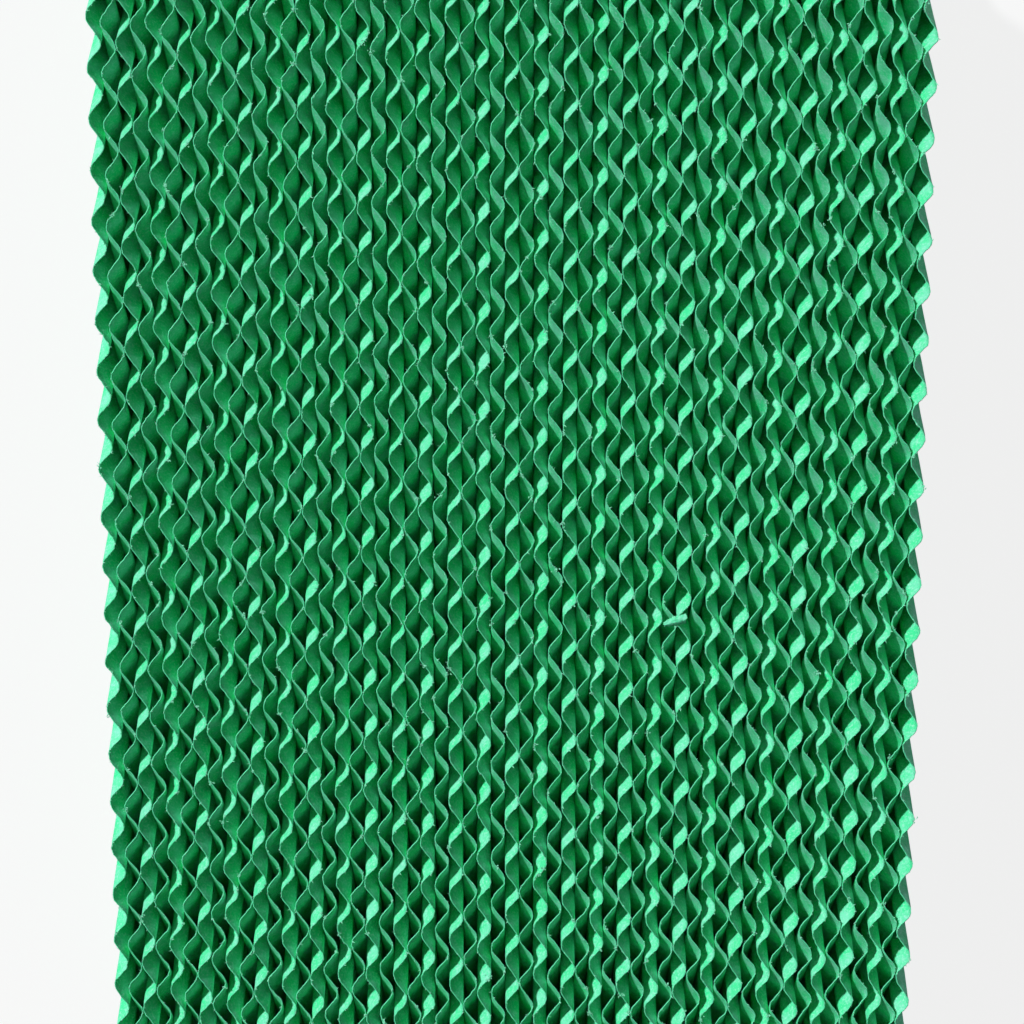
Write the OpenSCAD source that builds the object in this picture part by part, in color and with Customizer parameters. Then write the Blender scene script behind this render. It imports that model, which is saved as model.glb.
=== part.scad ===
// Evaporative cooling pad: fluted paper sheets glued crest to crest.
// The pad lies on its back with the sawn air face up. X runs across the sheets, Y along them, Z through the pad.
// Every other sheet has its flutes rising into the pad, the ones between have them falling, so the flutes cross.

/* [Pad] */
// Width across the sheets, filled with as many whole sheets as fit
pad_width = 400; // [140:1:420]
// Height of the pad as it stands in its frame, along the sheets
pad_height = 600; // [300:10:1000]
// Thickness that the air goes through
pad_thickness = 100; // [50:5:200]

/* [Flutes] */
// Height of one fluted sheet with its share of the glue
flute_height = 7; // [5:0.5:12]
// Distance from crest to crest, square to the flutes
flute_pitch = 18.7; // [10:0.1:30]
// Width of the round of a crest, drawn as a flat
crest_width = 3.1; // [1:0.1:6]
// Slope of the flutes against the air's way through the pad
flute_angle = 38; // [15:1:60]

/* [Paper] */
// Thickness of the stiffened paper
paper = 0.4; // [0.2:0.05:1]
// Film of glue between two touching crests
glue_line = 0.1; // [0.05:0.05:0.3]

/* [Colour] */
// Green coating of the paper
sheet_color = [0.04, 0.42, 0.2];

/* [Hidden] */
sheet_count = floor(pad_width / flute_height);
first_x = -(sheet_count - 1) / 2 * flute_height;
// Half of the wave, measured on the middle of the paper
amplitude = (flute_height - glue_line - paper) / 2;
flank_angle = atan2(2 * amplitude, flute_pitch / 2 - crest_width);
// Reach of the pad's side view, square to the flutes and along them
reach_across = pad_height * cos(flute_angle) + pad_thickness * sin(flute_angle);
reach_along = pad_height * sin(flute_angle) + pad_thickness * cos(flute_angle);
waves_each_way = ceil(reach_across / 2 / flute_pitch) + 1;
// Sheets are cut and stacked with no regard to their waves: a square number times this share scatters them
scatter = 0.618034;
eps = 1;

function is_rising(i) = i % 2 == 0;
function two_digits(k) = str(k < 10 ? "0" : "", k);
function sheet_name(i) = str(is_rising(i) ? "rising_sheet_" : "falling_sheet_", two_digits(floor(i / 2) + 1));
function wave_shift(i) = (scatter * i * i - floor(scatter * i * i)) * flute_pitch;

// One side of the paper, half a paper off its middle: the two corners of a crest, then those of a trough, wave by wave
function paper_side(off) =
  let (crest = crest_width / 2 + off * tan(flank_angle / 2), trough = crest_width / 2 - off * tan(flank_angle / 2))
  [for (w = [-waves_each_way : waves_each_way])
    each [
      [amplitude + off, w * flute_pitch - crest],
      [amplitude + off, w * flute_pitch + crest],
      [-amplitude + off, (w + 0.5) * flute_pitch - trough],
      [-amplitude + off, (w + 0.5) * flute_pitch + trough]
    ]];

function reversed(points) = [for (k = [len(points) - 1 : -1 : 0]) points[k]];

// Section of a fluted sheet, square to its flutes
module wave_section() {
  polygon(concat(paper_side(paper / 2), reversed(paper_side(-paper / 2))));
}

// The sheet sawn off flush with the pad's two air faces and its two ends
module fluted_sheet(i) {
  color(sheet_color)
    translate([first_x + i * flute_height, 0, pad_thickness / 2])
      intersection() {
        rotate([is_rising(i) ? flute_angle : -flute_angle, 0, 0])
          translate([0, wave_shift(i), 0])
            linear_extrude(reach_along + 2 * eps, center = true)
              wave_section();
        cube([flute_height + 2 * eps, pad_height, pad_thickness], center = true);
      }
}

for (i = [0 : sheet_count - 1])
  fluted_sheet(i);
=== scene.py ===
import math
import random

import bmesh
import bpy
from bpy.props import FloatProperty, FloatVectorProperty, IntProperty, PointerProperty
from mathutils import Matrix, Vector


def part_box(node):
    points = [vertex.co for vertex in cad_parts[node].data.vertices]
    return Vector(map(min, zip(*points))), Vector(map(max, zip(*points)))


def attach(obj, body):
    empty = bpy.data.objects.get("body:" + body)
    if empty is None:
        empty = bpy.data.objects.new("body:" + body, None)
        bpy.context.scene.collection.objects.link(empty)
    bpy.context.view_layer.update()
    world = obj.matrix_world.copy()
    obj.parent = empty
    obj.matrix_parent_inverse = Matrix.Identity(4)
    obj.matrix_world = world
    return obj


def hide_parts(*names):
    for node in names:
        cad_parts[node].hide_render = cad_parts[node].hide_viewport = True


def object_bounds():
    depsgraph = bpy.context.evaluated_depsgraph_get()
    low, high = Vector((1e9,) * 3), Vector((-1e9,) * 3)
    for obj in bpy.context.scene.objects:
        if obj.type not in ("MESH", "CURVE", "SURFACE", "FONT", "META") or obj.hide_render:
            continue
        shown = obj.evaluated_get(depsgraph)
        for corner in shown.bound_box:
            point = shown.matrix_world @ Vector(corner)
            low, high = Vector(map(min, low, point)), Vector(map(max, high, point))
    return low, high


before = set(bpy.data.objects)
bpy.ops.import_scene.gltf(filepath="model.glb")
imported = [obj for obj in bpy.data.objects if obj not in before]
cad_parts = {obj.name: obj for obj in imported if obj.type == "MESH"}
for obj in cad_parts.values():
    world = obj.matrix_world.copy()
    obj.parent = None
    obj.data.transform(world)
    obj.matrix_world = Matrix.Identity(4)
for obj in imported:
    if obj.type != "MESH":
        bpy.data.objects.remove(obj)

bl_info = {
    "name": "Evaporative Cooling Pad",
    "version": (1, 0, 0),
    "blender": (4, 5, 0),
    "location": "View3D > Sidebar > Cooling Pad",
    "description": "Fluted green paper sheets of an evaporative cooling pad, seen on their sawn air face",
    "category": "Add Mesh",
}

MM = 0.001
CAD_LOW, CAD_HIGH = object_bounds()
PAD_HEIGHT = CAD_HIGH.y - CAD_LOW.y
PAD_THICKNESS = CAD_HIGH.z - CAD_LOW.z
MID_DEPTH = PAD_THICKNESS / 2
RISING, FALLING = "rising_sheet_", "falling_sheet_"

# Places on a sheet: the rows it is cut into lie closer at the air face that shows
TOUCH = 0.01 * MM
SPARE_WAVES = 3
FLANK_SPAN = 0.4
ROW_HEIGHTS = (2 * MM, MID_DEPTH, *(PAD_THICKNESS - depth * MM for depth in (26, 12, 2)))
RIM_DEPTH = 0.1 * MM
STRIP_DEPTH = 3 * MM
STRIP_SHARE = 0.4
SMOOTH_ANGLE = math.radians(40)

# Size of the clouds that bend, nick and wrinkle the paper
BOW_CLOUD = 45 * MM
RIPPLE_CLOUD = 5 * MM
NICK_CLOUD = 1.1 * MM
FRAY_CLOUD = 0.9 * MM
WRINKLE_CLOUD = 1.3 * MM

# Torn fibres in millimetres, each pair from least to most
BURR_LENGTH = (0.4, 1.6)
BURR_MEAN_EXTRA = 0.4
BURR_WIDTH = (0.35, 0.75)
TUFT_SPREAD = (0.2, 0.7)
TUFT_FIBRES = (6, 12)
TUFT_LENGTH = (0.4, 1.3)
TUFT_WIDTH = (0.5, 1.0)
FIBRE_THICKNESS = (0.1, 0.25)
FIBRE_LIFT = (0.0, 0.6)
FIBRE_TWIST = (-0.4, 0.4)

# The one larger scrap of paper and the sheet that it hangs on
SCRAP_SHEET = FALLING + "20"
SCRAP_PLACE = Vector((80 * MM, -54 * MM, PAD_THICKNESS + 1.2 * MM))
SCRAP_LENGTH, SCRAP_WIDTH = 11.5 * MM, 4.4 * MM
SCRAP_CELLS = (14, 7)
SCRAP_TORN_END = 0.3
SCRAP_TEAR = 1.1 * MM
SCRAP_WRINKLE = 1.5 * MM
SCRAP_TURN = math.radians(15)

# Where the scrap droops, as shares of its width with drops, and where it narrows, as shares of its length
SCRAP_DROOP = ((0.12, 0.3 * MM), (0.26, 0.6 * MM), (0.4, 1.0 * MM))
SCRAP_TAPER = ((-0.1, 0.9), (-0.25, 0.8), (-0.4, 0.6))

# How torn the paper is: from 0 on coated paper through 1 on a sawn edge to 2 on a loose fibre
TORN_SCRAP = 0.88
TORN_FIBRE = 2.0

# The paper's pattern: noise scales in waves a metre, bands of noise that show, and shares of a colour
FIBRE_SCALE = 850
BLOTCH_SCALE = 110
RAGGED_SCALE = 700
BLOTCH_BAND = (0.7, 1.1)
FLECK_BAND = (0.52, 0.72)
SAWN_BAND = (0.96, 1.04)
FIBRE_IN_BLOTCH = 0.8
RAGGED_SHARE = 0.16
FLECK_SHARE = 0.4
BARE_FIBRE_SHARE = 0.5
# Painted highlight: the paper turns paler near the air faces, fading out between these depths
PAINTED_HIGHLIGHT_SHARE = 0.12
PAINTED_HIGHLIGHT_DEPTH = (2 * MM, 13 * MM)
ROUGHNESS = (0.5, 0.8)
GLOSS = 0.35

# Floor, light and camera
FLOOR_SIZE = 12
FLOOR_ROUGHNESS = 0.9
FLOOR_GLOW = 0.85
TO_LIGHT = Vector((-0.6, 0.58, 0.55))
LIGHT_WIDTH = math.radians(4)
SENSOR_MM = 36
SIGHT_RANGE = 50


class CoolingPadSheet(bpy.types.PropertyGroup):
    """Sizes of one fluted paper sheet"""

    paper: FloatProperty(
        name="Paper", description="Thickness of the stiffened paper", default=0.4 * MM, unit="LENGTH")
    flute_pitch: FloatProperty(
        name="Flute pitch", description="Crest to crest, square to the flutes", default=18.7 * MM,
        unit="LENGTH")
    flute_angle: FloatProperty(
        name="Flute slope", description="Slope of the flutes against the air's way", default=math.radians(38),
        subtype="ANGLE")
    flute_rise: FloatProperty(
        name="Flute rise", description="Crest to trough on the middle of the paper", default=6.5 * MM,
        unit="LENGTH")
    flank_angle: FloatProperty(
        name="Flank angle", description="Slope of a wave's straight flank against its sheet",
        default=math.radians(46.2), subtype="ANGLE")
    scatter: FloatProperty(
        name="Scatter", description="Share of a wave that, times a square number, shifts each sheet",
        default=0.618034)
    skew: FloatProperty(
        name="Skew", description="Share of a wave by which the crests of the rising sheets sit low",
        default=0.07)
    crest_segments: IntProperty(name="Crest segments", description="Facets round one crest", default=5)
    flank_cuts: IntProperty(name="Flank cuts", description="Cuts across one flank", default=1)
    bow: FloatProperty(
        name="Bow", description="Slow bending of a sheet out of its plane", default=1.0 * MM, unit="LENGTH")
    ripple: FloatProperty(
        name="Ripple", description="Waver of the paper along its sawn edge", default=1.1 * MM, unit="LENGTH")
    nicks: FloatProperty(
        name="Nicks", description="Depth of the saw's nicks", default=0.8 * MM, unit="LENGTH")
    fray: FloatProperty(
        name="Fray", description="Unevenness of the sawn edge seen from the front", default=0.7 * MM,
        unit="LENGTH")
    burrs: IntProperty(name="Burrs", description="Torn fibres along one sawn edge of a sheet", default=260)
    tufts: IntProperty(name="Tufts", description="Frayed tufts along one sawn edge of a sheet", default=7)


class CoolingPadPaper(bpy.types.PropertyGroup):
    """Colours of the coated paper"""

    leaf: FloatVectorProperty(
        name="Leaf green", description="Paper where its coating is thin", subtype="COLOR", size=3,
        default=(0.19, 0.86, 0.56))
    deep: FloatVectorProperty(
        name="Deep green", description="Paper where its coating is thick", subtype="COLOR", size=3,
        default=(0.01, 0.83, 0.32))
    sawn: FloatVectorProperty(
        name="Sawn mint", description="Raw paper at the sawn edges", subtype="COLOR", size=3,
        default=(0.15, 1.0, 0.54))
    # The fibre colour is also the colour of the painted highlight near the air faces
    fibre: FloatVectorProperty(
        name="Fibre", description="Torn fibres and bare flecks", subtype="COLOR", size=3,
        default=(0.5, 1.0, 0.8))


class CoolingPadStage(bpy.types.PropertyGroup):
    """Floor, light and camera"""

    floor: FloatVectorProperty(
        name="Floor", description="Colour of the floor", subtype="COLOR", size=3, default=(0.9, 0.9, 0.9))
    key: FloatProperty(name="Key light", description="Strength of the light from the upper left", default=3.0)
    fill: FloatProperty(name="Fill light", description="Strength of the light from all round", default=0.08)
    focal: FloatProperty(name="Lens", description="Focal length on a 36 mm frame", default=72.0)
    tilt: FloatProperty(
        name="Tilt", description="How far the camera looks down the pad", default=math.radians(8.8),
        subtype="ANGLE")
    sheet_px: FloatProperty(
        name="Sheet width in the picture", description="Pixels from sheet to sheet at the picture's middle",
        default=14.45)
    picture_px: IntProperty(name="Picture", description="Width of the picture in pixels", default=1024)


# Handling of the selection


def clear_selection():
    if bpy.context.object and bpy.context.object.mode != "OBJECT":
        bpy.ops.object.mode_set(mode="OBJECT")
    bpy.ops.object.select_all(action="DESELECT")


def pick_only(piece):
    clear_selection()
    piece.select_set(True)
    bpy.context.view_layer.objects.active = piece


def choose(piece, kind, test):
    """In edit mode, selects the vertices or edges that pass the test and nothing else."""
    bpy.ops.mesh.select_mode(type="VERT" if kind == "verts" else "EDGE")
    bpy.ops.mesh.select_all(action="DESELECT")
    mesh = bmesh.from_edit_mesh(piece.data)
    for item in getattr(mesh, kind):
        if test(item):
            item.select_set(True)
    mesh.select_flush_mode()
    bmesh.update_edit_mesh(piece.data)


def apply_modifier(piece, kind, **values):
    """Adds a modifier with these values and applies it."""
    modifier = piece.modifiers.new(kind.lower(), kind)
    for name, value in values.items():
        setattr(modifier, name, value)
    pick_only(piece)
    bpy.ops.object.modifier_apply(modifier=modifier.name)


# The fluted sheet


def sheet_index(node):
    """Place of a sheet in the stack, counted from the left."""
    return 2 * (int(node[-2:]) - 1) + (0 if node.startswith(RISING) else 1)


def face_pitch(sizes):
    """Crest to crest along the air face."""
    return sizes.flute_pitch / math.cos(sizes.flute_angle)


def model_long_sheet(sizes, name, lean):
    """A fluted sheet longer than the pad, flush with both air faces. Seen from the air face its flutes run
    up into the pad with lean 1 and down with lean -1."""
    pitch = face_pitch(sizes)
    slant = lean * PAD_THICKNESS * math.tan(sizes.flute_angle)
    corner = math.tan(sizes.flank_angle) * sizes.flute_pitch / 4
    stretch = (PAD_THICKNESS - pitch) / 2
    low_by = sizes.skew * pitch if lean > 0 else 0

    clear_selection()
    bpy.ops.mesh.primitive_plane_add(size=pitch, location=(0, 0, MID_DEPTH), rotation=(0, math.pi / 2, 0))
    sheet = bpy.context.active_object
    sheet.name = name
    bpy.ops.object.transform_apply(location=True, rotation=True, scale=True)

    bpy.ops.object.mode_set(mode="EDIT")
    choose(sheet, "verts", lambda v: v.co.z > MID_DEPTH)
    bpy.ops.transform.translate(value=(0, 0, stretch))
    choose(sheet, "verts", lambda v: v.co.z < MID_DEPTH)
    bpy.ops.transform.translate(value=(0, slant, -stretch))
    choose(sheet, "edges", lambda e: abs(e.verts[0].co.z - e.verts[1].co.z) < TOUCH)
    bpy.ops.mesh.subdivide(number_cuts=1)
    choose(sheet, "verts", lambda v: abs(v.co.y - slant * (1 - v.co.z / PAD_THICKNESS)) < pitch / 4)
    bpy.ops.transform.translate(value=(2 * corner, -low_by, 0))
    bpy.ops.mesh.select_all(action="SELECT")
    bpy.ops.transform.translate(value=(-corner, low_by / 2, 0))
    for height in ROW_HEIGHTS:
        bpy.ops.mesh.select_all(action="SELECT")
        bpy.ops.mesh.bisect(plane_co=(0, 0, height), plane_no=(0, 0, 1))
    bpy.ops.object.mode_set(mode="OBJECT")

    waves = math.ceil((PAD_HEIGHT + abs(slant)) / pitch) + SPARE_WAVES
    apply_modifier(
        sheet, "ARRAY", count=waves, use_relative_offset=False, use_constant_offset=True,
        constant_offset_displace=(0, pitch, 0), use_merge_vertices=True, merge_threshold=TOUCH)

    round_off = (corner - sizes.flute_rise / 2) / (1 / math.cos(sizes.flank_angle) - 1)
    bpy.ops.object.mode_set(mode="EDIT")
    choose(
        sheet, "edges",
        lambda e: not e.is_boundary and all(abs(abs(v.co.x) - corner) < TOUCH for v in e.verts)
        and (e.verts[0].co.x > 0) == (e.verts[1].co.x > 0))
    bpy.ops.mesh.bevel(
        offset=round_off * math.tan(sizes.flank_angle), offset_type="OFFSET", segments=sizes.crest_segments,
        profile=0.5, affect="EDGES", clamp_overlap=False)
    choose(sheet, "edges", lambda e: abs(e.verts[0].co.x - e.verts[1].co.x) > FLANK_SPAN * sizes.flute_rise)
    bpy.ops.mesh.subdivide(number_cuts=sizes.flank_cuts)
    choose(sheet, "edges", lambda e: all(abs(abs(v.co.z - MID_DEPTH) - MID_DEPTH) < TOUCH for v in e.verts))
    bpy.ops.mesh.subdivide(number_cuts=1)
    bpy.ops.mesh.select_all(action="SELECT")
    bpy.ops.mesh.normals_make_consistent(inside=False)
    bpy.ops.object.mode_set(mode="OBJECT")
    return sheet


def first_crest(sizes, index, lean):
    """Y on the air face of a crest below the pad's lower end, where the copy of the long sheet starts."""
    shift = (sizes.scatter * index * index) % 1.0 * sizes.flute_pitch
    sine, cosine = math.sin(sizes.flute_angle), math.cos(sizes.flute_angle)
    crest = (shift - lean * PAD_THICKNESS / 2 * sine) / cosine
    start = CAD_LOW.y - face_pitch(sizes) - (PAD_THICKNESS * sine / cosine if lean > 0 else 0)
    return crest + math.floor((start - crest) / face_pitch(sizes)) * face_pitch(sizes)


def mark_sawn_edges(piece):
    """Vertex groups for the edge on the two air faces and the paper just behind it, and the attribute torn,
    which is 1 on every sawn edge. Gives the numbers of the vertices on the air faces."""
    rim = piece.vertex_groups.new(name="sawn_rim")
    strip = piece.vertex_groups.new(name="sawn_strip")
    depth = [min(v.co.z, PAD_THICKNESS - v.co.z) for v in piece.data.vertices]
    to_end = [PAD_HEIGHT / 2 - abs(v.co.y) for v in piece.data.vertices]
    edge = [i for i, d in enumerate(depth) if d < RIM_DEPTH]
    rim.add(edge, 1.0, "REPLACE")
    strip.add(edge, 1.0, "REPLACE")
    strip.add([i for i, d in enumerate(depth) if RIM_DEPTH <= d < STRIP_DEPTH], STRIP_SHARE, "REPLACE")
    torn = piece.data.attributes.new("torn", "FLOAT", "POINT")
    torn.data.foreach_set("value", [float(min(pair) < RIM_DEPTH) for pair in zip(depth, to_end)])
    return edge


def paper_texture(name, size):
    texture = bpy.data.textures.get(name) or bpy.data.textures.new(name, "CLOUDS")
    texture.noise_scale = size
    texture.noise_depth = 2
    return texture


def cut_sheet(sizes, long_sheet, node, lean):
    """A copy of the long sheet at its place in the stack, sawn off at the pad's ends, bowed and frayed, with
    its thickness and its torn fibres."""
    low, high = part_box(node)
    index = sheet_index(node)
    pick_only(long_sheet)
    bpy.ops.object.duplicate()
    piece = bpy.context.active_object
    piece.name = "paper_" + node
    piece.location = ((low.x + high.x) / 2, first_crest(sizes, index, lean), 0)
    bpy.ops.object.transform_apply(location=True, rotation=True, scale=True)

    bpy.ops.object.mode_set(mode="EDIT")
    for end, side in ((low.y, -1), (high.y, 1)):
        bpy.ops.mesh.select_all(action="SELECT")
        bpy.ops.mesh.bisect(plane_co=(0, end, 0), plane_no=(0, side, 0), clear_outer=True)
    bpy.ops.object.mode_set(mode="OBJECT")

    edge = mark_sawn_edges(piece)
    for name, cloud, direction, strength, band in (
            ("sheet_bow", BOW_CLOUD, "X", sizes.bow, ""),
            ("edge_ripple", RIPPLE_CLOUD, "X", sizes.ripple, "sawn_strip"),
            ("saw_nicks", NICK_CLOUD, "Z", sizes.nicks, "sawn_rim"),
            ("edge_fray", FRAY_CLOUD, "X", sizes.fray, "sawn_rim")):
        apply_modifier(
            piece, "DISPLACE", texture=paper_texture(name, cloud), direction=direction, strength=strength,
            vertex_group=band)
    loose = [tear_fibres(sizes, [piece.data.vertices[i].co.copy() for i in edge], index)]
    if node == SCRAP_SHEET:
        loose.append(curl_scrap(sizes))
    apply_modifier(piece, "SOLIDIFY", thickness=sizes.paper, offset=0)
    clear_selection()
    for obj in (*loose, piece):
        obj.select_set(True)
    bpy.context.view_layer.objects.active = piece
    bpy.ops.object.join()
    bpy.ops.object.shade_smooth_by_angle(angle=SMOOTH_ANGLE)
    return piece


# Torn fibres along the sawn edges


def splinter(root, reach, across, up):
    """A flat four-faced splinter from root along reach, as corners and faces that point outwards."""
    a, b, c, d = root - across, root + across, root + up, root + reach
    faces = [(0, 2, 1), (0, 1, 3), (1, 2, 3), (2, 0, 3)]
    if (b - a).cross(c - a).dot(d - a) < 0:
        faces = [face[::-1] for face in faces]
    return (a, b, c, d), faces


def tear_fibres(sizes, edge, index):
    """Burrs and frayed tufts on a sheet's two sawn edges, as one mesh marked as torn."""
    dice = random.Random(index)
    points, faces = [], []

    def add_splinter(root, length, width):
        outward = 1 if root.z > MID_DEPTH else -1
        turn = dice.uniform(0, 2 * math.pi)
        reach = Vector((math.cos(turn), math.sin(turn), outward * dice.uniform(*FIBRE_LIFT))) * length
        across = Vector((-math.sin(turn), math.cos(turn), dice.uniform(*FIBRE_TWIST))) * width / 2
        up = Vector((0, 0, outward * dice.uniform(*FIBRE_THICKNESS) * MM))
        corners, sides = splinter(root, reach, across, up)
        faces.extend(tuple(len(points) + i for i in side) for side in sides)
        points.extend(corners)

    for line in ([v for v in edge if v.z > MID_DEPTH], [v for v in edge if v.z < MID_DEPTH]):
        line.sort(key=lambda v: v.y)
        for _ in range(sizes.burrs):
            at = dice.randrange(len(line) - 1)
            root = line[at].lerp(line[at + 1], dice.random())
            length = min(BURR_LENGTH[0] + dice.expovariate(1 / BURR_MEAN_EXTRA), BURR_LENGTH[1])
            add_splinter(root, length * MM, dice.uniform(*BURR_WIDTH) * MM)
        for _ in range(sizes.tufts):
            at = dice.randrange(len(line) - 1)
            spread = dice.uniform(*TUFT_SPREAD)
            for _ in range(dice.randrange(*TUFT_FIBRES)):
                root = line[at] + Vector((dice.gauss(0, spread), dice.gauss(0, spread), 0)) * MM
                add_splinter(root, dice.uniform(*TUFT_LENGTH) * MM, dice.uniform(*TUFT_WIDTH) * MM)

    mesh = bpy.data.meshes.new("torn_fibres")
    mesh.from_pydata(points, [], faces)
    mark_torn(mesh, TORN_FIBRE)
    fibres = bpy.data.objects.new("torn_fibres", mesh)
    bpy.context.collection.objects.link(fibres)
    return fibres


def mark_torn(mesh, value):
    torn = mesh.attributes.new("torn", "FLOAT", "POINT")
    torn.data.foreach_set("value", [value] * len(mesh.vertices))


def curl_scrap(sizes):
    """The one larger scrap, a curled and wrinkled strip of paper that lies across the sawn edges."""
    clear_selection()
    along, across = SCRAP_CELLS
    bpy.ops.mesh.primitive_grid_add(x_subdivisions=along, y_subdivisions=across, size=1)
    scrap = bpy.context.active_object
    scrap.scale = (SCRAP_LENGTH, SCRAP_WIDTH, 1)
    bpy.ops.object.transform_apply(location=True, rotation=True, scale=True)
    bpy.ops.object.mode_set(mode="EDIT")
    for reach, drop in SCRAP_DROOP:
        choose(scrap, "verts", lambda v: abs(v.co.y) > reach * SCRAP_WIDTH)
        bpy.ops.transform.translate(value=(0, 0, -drop))
    for end, share in SCRAP_TAPER:
        choose(scrap, "verts", lambda v: v.co.x < end * SCRAP_LENGTH)
        bpy.ops.transform.resize(value=(1, share, share))
    choose(scrap, "verts", lambda v: v.co.x > SCRAP_TORN_END * SCRAP_LENGTH and v.co.y < 0)
    bpy.ops.transform.translate(value=(-SCRAP_TEAR, 0, 0))
    bpy.ops.object.mode_set(mode="OBJECT")
    apply_modifier(
        scrap, "DISPLACE", texture=paper_texture("scrap_wrinkles", WRINKLE_CLOUD), direction="RGB_TO_XYZ",
        strength=SCRAP_WRINKLE)
    scrap.rotation_euler = (0, 0, SCRAP_TURN)
    scrap.location = SCRAP_PLACE
    bpy.ops.object.transform_apply(location=True, rotation=True, scale=True)
    apply_modifier(scrap, "SOLIDIFY", thickness=sizes.paper, offset=0)
    mark_torn(scrap.data, TORN_SCRAP)
    return scrap


def make_sheets(prefix, lean):
    """Models one long sheet and cuts every sheet with its lean from it."""
    sizes = bpy.context.scene.cooling_pad_sheet
    nodes = sorted(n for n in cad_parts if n.startswith(prefix))
    if not nodes:
        raise RuntimeError("the frame has no sheet named " + prefix)
    paper = green_paper()
    long_sheet = model_long_sheet(sizes, "long_" + prefix.rstrip("_"), lean)
    for node in nodes:
        piece = cut_sheet(sizes, long_sheet, node, lean)
        piece.data.materials.clear()
        piece.data.materials.append(paper)
        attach(piece, "root")
        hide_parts(node)
    bpy.data.objects.remove(long_sheet)


# The paper's finish


def add_node(tree, kind, **inputs):
    """A node of the tree with these values on its input sockets."""
    node = tree.nodes.new(kind)
    for name, value in inputs.items():
        node.inputs[name.replace("_", " ")].default_value = value
    return node


def math_node(tree, operation, *values):
    """A Math node; each value is a number or an output socket."""
    node = tree.nodes.new("ShaderNodeMath")
    node.operation = operation
    for socket, value in zip(node.inputs, values):
        if isinstance(value, (int, float)):
            socket.default_value = value
        else:
            tree.links.new(value, socket)
    return node.outputs[0]


def blend(tree, share, below, above):
    """Mixes two colours by a share; a colour is a tuple or an output socket."""
    node = tree.nodes.new("ShaderNodeMix")
    node.data_type = "RGBA"
    tree.links.new(share, node.inputs[0])
    for socket, colour in ((node.inputs[6], below), (node.inputs[7], above)):
        if isinstance(colour, bpy.types.NodeSocket):
            tree.links.new(colour, socket)
        else:
            socket.default_value = (*colour, 1)
    return node.outputs[2]


def new_group(name, outputs):
    """A shader node group with a Coordinates input and these value outputs. Gives the tree, its input node
    and its output node."""
    group = bpy.data.node_groups.new(name, "ShaderNodeTree")
    group.interface.new_socket("Coordinates", in_out="INPUT", socket_type="NodeSocketVector")
    for output in outputs:
        group.interface.new_socket(output, in_out="OUTPUT", socket_type="NodeSocketFloat")
    return group, group.nodes.new("NodeGroupInput"), group.nodes.new("NodeGroupOutput")


def noise(tree, coordinates, scale, detail):
    node = add_node(tree, "ShaderNodeTexNoise", Scale=scale, Detail=detail)
    tree.links.new(coordinates, node.inputs["Vector"])
    return node.outputs[0]


def mottle_group():
    """Blotches of the coating, the paper's fibres, and pale flecks where the fibres lie bare."""
    group, start, end = new_group("paper_mottle", ("Blotch", "Fibre", "Flecks"))
    at = start.outputs["Coordinates"]
    fibre = noise(group, at, FIBRE_SCALE, 2.0)
    clouds = noise(group, at, BLOTCH_SCALE, 1.0)
    blotch = math_node(group, "ADD", clouds, math_node(group, "MULTIPLY", fibre, FIBRE_IN_BLOTCH))
    for source, (low, high), output in ((blotch, BLOTCH_BAND, "Blotch"), (fibre, FLECK_BAND, "Flecks")):
        spread = add_node(group, "ShaderNodeMapRange", From_Min=low, From_Max=high)
        group.links.new(source, spread.inputs["Value"])
        group.links.new(spread.outputs[0], end.inputs[output])
    group.links.new(fibre, end.inputs["Fibre"])
    return group


def sawn_edge_and_highlight_group():
    """Masks of the sawn edges, ragged where the paper frayed, of the torn fibres, which are below 0 and so
    without effect on coated paper, and of a painted highlight that makes the paper paler near the air faces."""
    group, start, end = new_group("sawn_edge", ("Edge", "Fibres", "Dust"))
    place = group.nodes.new("ShaderNodeSeparateXYZ")
    group.links.new(start.outputs["Coordinates"], place.inputs[0])
    up = place.outputs["Z"]
    depth = math_node(group, "MINIMUM", up, math_node(group, "SUBTRACT", PAD_THICKNESS, up))
    near, far = PAINTED_HIGHLIGHT_DEPTH
    # Painted highlight: paper paler near the air faces, fading out with depth
    painted_highlight = add_node(group, "ShaderNodeMapRange", From_Min=near, From_Max=far, To_Min=PAINTED_HIGHLIGHT_SHARE, To_Max=0.0)
    group.links.new(depth, painted_highlight.inputs["Value"])
    group.links.new(painted_highlight.outputs[0], end.inputs["Dust"])
    torn = group.nodes.new("ShaderNodeAttribute")
    torn.attribute_name = "torn"
    ragged = noise(group, start.outputs["Coordinates"], RAGGED_SCALE, 0.0)
    frayed = math_node(group, "MULTIPLY_ADD", ragged, RAGGED_SHARE, torn.outputs["Fac"])
    low, high = SAWN_BAND
    ramp = add_node(group, "ShaderNodeMapRange", From_Min=low, From_Max=high)
    group.links.new(frayed, ramp.inputs["Value"])
    group.links.new(ramp.outputs[0], end.inputs["Edge"])
    bare = math_node(group, "MULTIPLY_ADD", torn.outputs["Fac"], BARE_FIBRE_SHARE, -BARE_FIBRE_SHARE)
    group.links.new(bare, end.inputs["Fibres"])
    return group


def place_group(tree, group, coordinates):
    node = tree.nodes.new("ShaderNodeGroup")
    node.node_tree = group
    tree.links.new(coordinates, node.inputs["Coordinates"])
    return node.outputs


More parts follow.
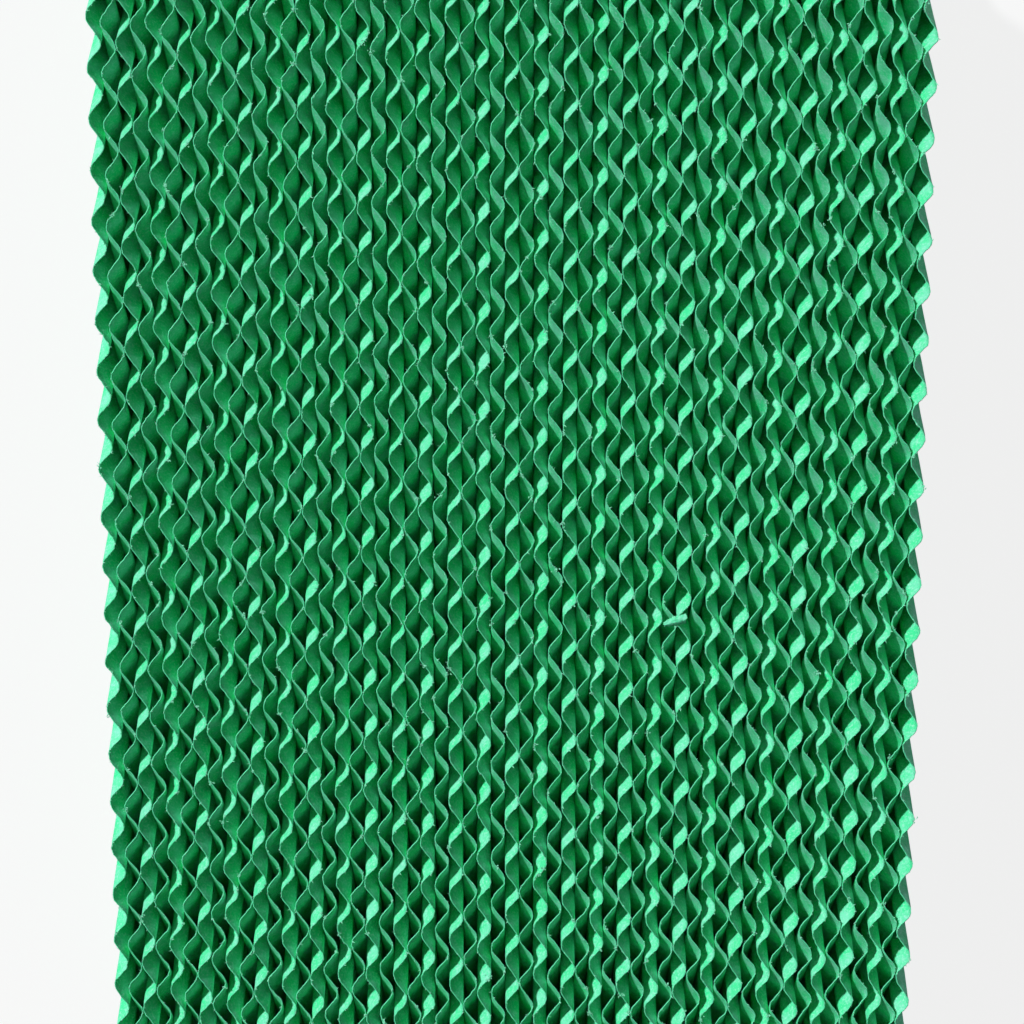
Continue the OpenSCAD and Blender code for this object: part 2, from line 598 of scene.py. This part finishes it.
def green_paper():
    """Green coated paper, mottled, with pale sawn edges and torn fibres."""
    made = bpy.data.materials.get("green_coated_paper")
    if made:
        return made
    colours = bpy.context.scene.cooling_pad_paper
    paper = bpy.data.materials.new("green_coated_paper")
    paper.use_nodes = True
    tree = paper.node_tree
    skin = tree.nodes["Principled BSDF"]
    at = tree.nodes.new("ShaderNodeTexCoord").outputs["Object"]

    mottle = place_group(tree, mottle_group(), at)
    sawn = place_group(tree, sawn_edge_and_highlight_group(), at)

    coated = blend(tree, mottle["Blotch"], tuple(colours.deep), tuple(colours.leaf))
    # Flecks and the painted highlight near the air faces both lighten the paper towards the fibre colour
    flecks = math_node(tree, "MULTIPLY_ADD", mottle["Flecks"], FLECK_SHARE, sawn["Dust"])
    green = blend(tree, flecks, coated, tuple(colours.fibre))
    cut = blend(tree, sawn["Edge"], green, tuple(colours.sawn))
    tree.links.new(blend(tree, sawn["Fibres"], cut, tuple(colours.fibre)), skin.inputs["Base Color"])

    smoothest, roughest = ROUGHNESS
    rough = add_node(tree, "ShaderNodeMapRange", To_Min=smoothest, To_Max=roughest)
    tree.links.new(mottle["Fibre"], rough.inputs["Value"])
    tree.links.new(rough.outputs[0], skin.inputs["Roughness"])
    skin.inputs["Specular IOR Level"].default_value = GLOSS
    return paper


# Floor, light and camera


def lay_floor(settings):
    """A wide pale floor that takes the pad's shadow and, beside the pad, glows to the camera."""
    clear_selection()
    bpy.ops.mesh.primitive_plane_add(size=FLOOR_SIZE, location=(0, 0, 0))
    floor = bpy.context.active_object
    floor.name = "floor"
    finish = bpy.data.materials.new("pale_floor")
    finish.use_nodes = True
    tree = finish.node_tree
    skin = tree.nodes["Principled BSDF"]
    skin.inputs["Base Color"].default_value = (*settings.floor, 1)
    skin.inputs["Roughness"].default_value = FLOOR_ROUGHNESS
    glow = add_node(tree, "ShaderNodeEmission", Color=(1, 1, 1, 1), Strength=1.0)
    ray = tree.nodes.new("ShaderNodeLightPath")
    mix = tree.nodes.new("ShaderNodeMixShader")
    place = tree.nodes.new("ShaderNodeSeparateXYZ")
    tree.links.new(tree.nodes.new("ShaderNodeTexCoord").outputs["Object"], place.inputs[0])
    beside = [
        math_node(tree, "GREATER_THAN", math_node(tree, "ABSOLUTE", place.outputs[axis]), half)
        for axis, half in (("X", CAD_HIGH.x), ("Y", CAD_HIGH.y))]
    clear = math_node(tree, "MAXIMUM", *beside)
    shown = math_node(tree, "MULTIPLY", ray.outputs["Is Camera Ray"], clear)
    tree.links.new(math_node(tree, "MULTIPLY", shown, FLOOR_GLOW), mix.inputs[0])
    tree.links.new(skin.outputs[0], mix.inputs[1])
    tree.links.new(glow.outputs[0], mix.inputs[2])
    tree.links.new(mix.outputs[0], tree.nodes["Material Output"].inputs["Surface"])
    floor.data.materials.append(finish)


def light_pad(settings):
    """A key light from the upper left in front of the air face, and an even fill that looks white itself."""
    bpy.ops.object.light_add(type="SUN", location=TO_LIGHT * 2)
    key = bpy.context.active_object
    key.name = "key_light"
    key.rotation_euler = (-TO_LIGHT).to_track_quat("-Z", "Y").to_euler()
    key.data.energy = settings.key
    key.data.angle = LIGHT_WIDTH
    world = bpy.data.worlds.new("studio")
    bpy.context.scene.world = world
    world.use_nodes = True
    backdrop = world.node_tree.nodes["Background"]
    backdrop.inputs["Color"].default_value = (1, 1, 1, 1)
    ray = world.node_tree.nodes.new("ShaderNodeLightPath")
    level = add_node(world.node_tree, "ShaderNodeMapRange", To_Min=settings.fill, To_Max=1.0)
    world.node_tree.links.new(ray.outputs["Is Camera Ray"], level.inputs["Value"])
    world.node_tree.links.new(level.outputs[0], backdrop.inputs["Strength"])


def place_camera(settings):
    """A camera over the air face, tilted so that the pad's upper end is the nearer one."""
    lows = [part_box(n)[0] for n in (RISING + "01", FALLING + "01")]
    sheet_pitch = lows[1].x - lows[0].x
    focal_px = settings.focal / SENSOR_MM * settings.picture_px
    distance = focal_px * sheet_pitch / settings.sheet_px
    aim = Vector(((CAD_LOW.x + CAD_HIGH.x) / 2, 0, CAD_HIGH.z))
    away = Vector((0, math.sin(settings.tilt), math.cos(settings.tilt)))
    bpy.ops.object.camera_add(location=aim + away * distance, rotation=(-settings.tilt, 0, 0))
    camera = bpy.context.active_object
    camera.data.lens = settings.focal
    camera.data.sensor_width = SENSOR_MM
    camera.data.clip_end = SIGHT_RANGE
    bpy.context.scene.camera = camera


# The add-on's operators and panel


class COOLINGPAD_OT_rising_sheets(bpy.types.Operator):
    """Model the sheets whose flutes rise into the pad"""

    bl_idname = "cooling_pad.rising_sheets"
    bl_label = "Rising Sheets"

    def execute(self, context):
        make_sheets(RISING, 1)
        return {"FINISHED"}


class COOLINGPAD_OT_falling_sheets(bpy.types.Operator):
    """Model the sheets whose flutes fall into the pad"""

    bl_idname = "cooling_pad.falling_sheets"
    bl_label = "Falling Sheets"

    def execute(self, context):
        make_sheets(FALLING, -1)
        return {"FINISHED"}


class COOLINGPAD_OT_stage(bpy.types.Operator):
    """Lay the floor and place the light and the camera"""

    bl_idname = "cooling_pad.stage"
    bl_label = "Stage"

    def execute(self, context):
        settings = context.scene.cooling_pad_stage
        clear_selection()
        lay_floor(settings)
        light_pad(settings)
        place_camera(settings)
        context.scene.view_settings.view_transform = "Standard"
        return {"FINISHED"}


class COOLINGPAD_PT_sidebar(bpy.types.Panel):
    """Lists the pad's pieces and their sizes"""

    bl_idname = "COOLINGPAD_PT_sidebar"
    bl_label = "Cooling Pad"
    bl_space_type = "VIEW_3D"
    bl_region_type = "UI"
    bl_category = "Cooling Pad"

    def draw(self, context):
        for name in ("cooling_pad_sheet", "cooling_pad_paper", "cooling_pad_stage"):
            settings = getattr(context.scene, name)
            box = self.layout.box()
            for key in settings.__annotations__:
                box.prop(settings, key)
        for operator in OPERATORS:
            self.layout.operator(operator.bl_idname)


OPERATORS = (COOLINGPAD_OT_rising_sheets, COOLINGPAD_OT_falling_sheets, COOLINGPAD_OT_stage)
CLASSES = (CoolingPadSheet, CoolingPadPaper, CoolingPadStage, *OPERATORS, COOLINGPAD_PT_sidebar)


def register():
    for cls in CLASSES:
        bpy.utils.register_class(cls)
    bpy.types.Scene.cooling_pad_sheet = PointerProperty(type=CoolingPadSheet)
    bpy.types.Scene.cooling_pad_paper = PointerProperty(type=CoolingPadPaper)
    bpy.types.Scene.cooling_pad_stage = PointerProperty(type=CoolingPadStage)


def unregister():
    del bpy.types.Scene.cooling_pad_stage
    del bpy.types.Scene.cooling_pad_paper
    del bpy.types.Scene.cooling_pad_sheet
    for cls in reversed(CLASSES):
        bpy.utils.unregister_class(cls)


def main():
    register()
    bpy.ops.cooling_pad.rising_sheets()
    bpy.ops.cooling_pad.falling_sheets()
    bpy.ops.cooling_pad.stage()


if __name__ == "__main__":
    main()
